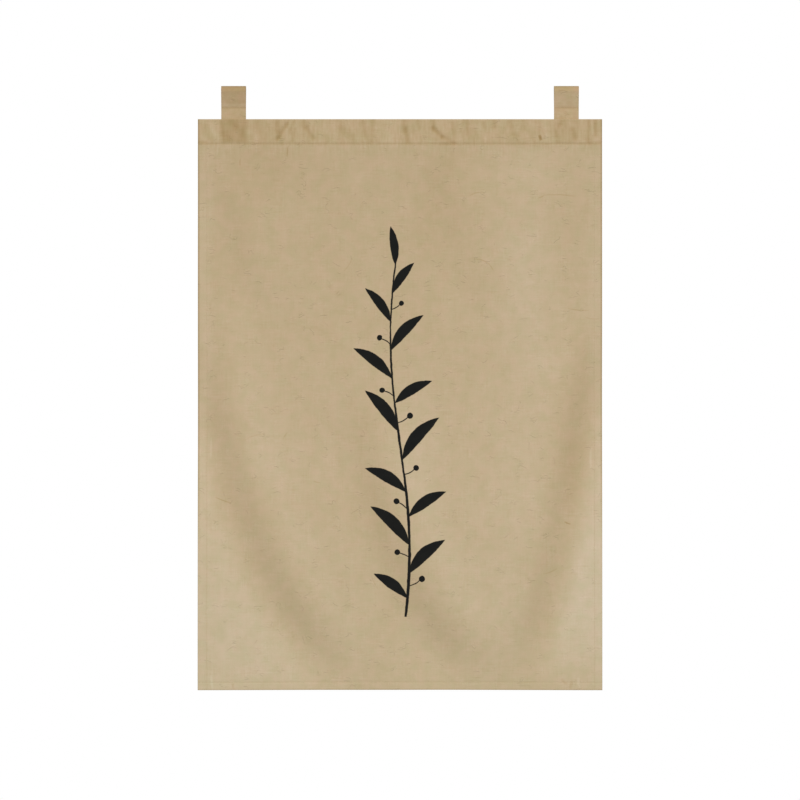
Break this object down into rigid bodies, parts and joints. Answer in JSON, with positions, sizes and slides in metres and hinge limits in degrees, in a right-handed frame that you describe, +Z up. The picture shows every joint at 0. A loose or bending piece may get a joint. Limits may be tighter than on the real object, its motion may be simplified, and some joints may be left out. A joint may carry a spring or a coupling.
{
  "type": "noren curtain",
  "caption": "Unslit rectangular cotton-linen doorway curtain, hemmed all round, with a doubled heading and a sewn loop tab at each top corner.",
  "frame": {"origin": "midway between the two hanging loops, on the underside of their crowns, where a rod's top runs", "axes": "+X runs across the cloth to the viewer's right, +Z is up along the hang, and the printed face looks towards -Y"},
  "size_m": [0.85, 0.03, 1.27],
  "materials": {
    "panel_cloth": "matt plain-weave cotton-linen canvas, warm beige",
    "tab_cloth": "the same canvas in two layers, a shade darker",
    "brush_print": "matt black pigment brushed into the weave",
    "sewing_thread": "beige cotton sewing thread"
  },
  "bodies": {
    "root": {"panel": "panel_cloth", "tab_left": "tab_cloth", "tab_right": "tab_cloth"}
  },
  "joints": []
}
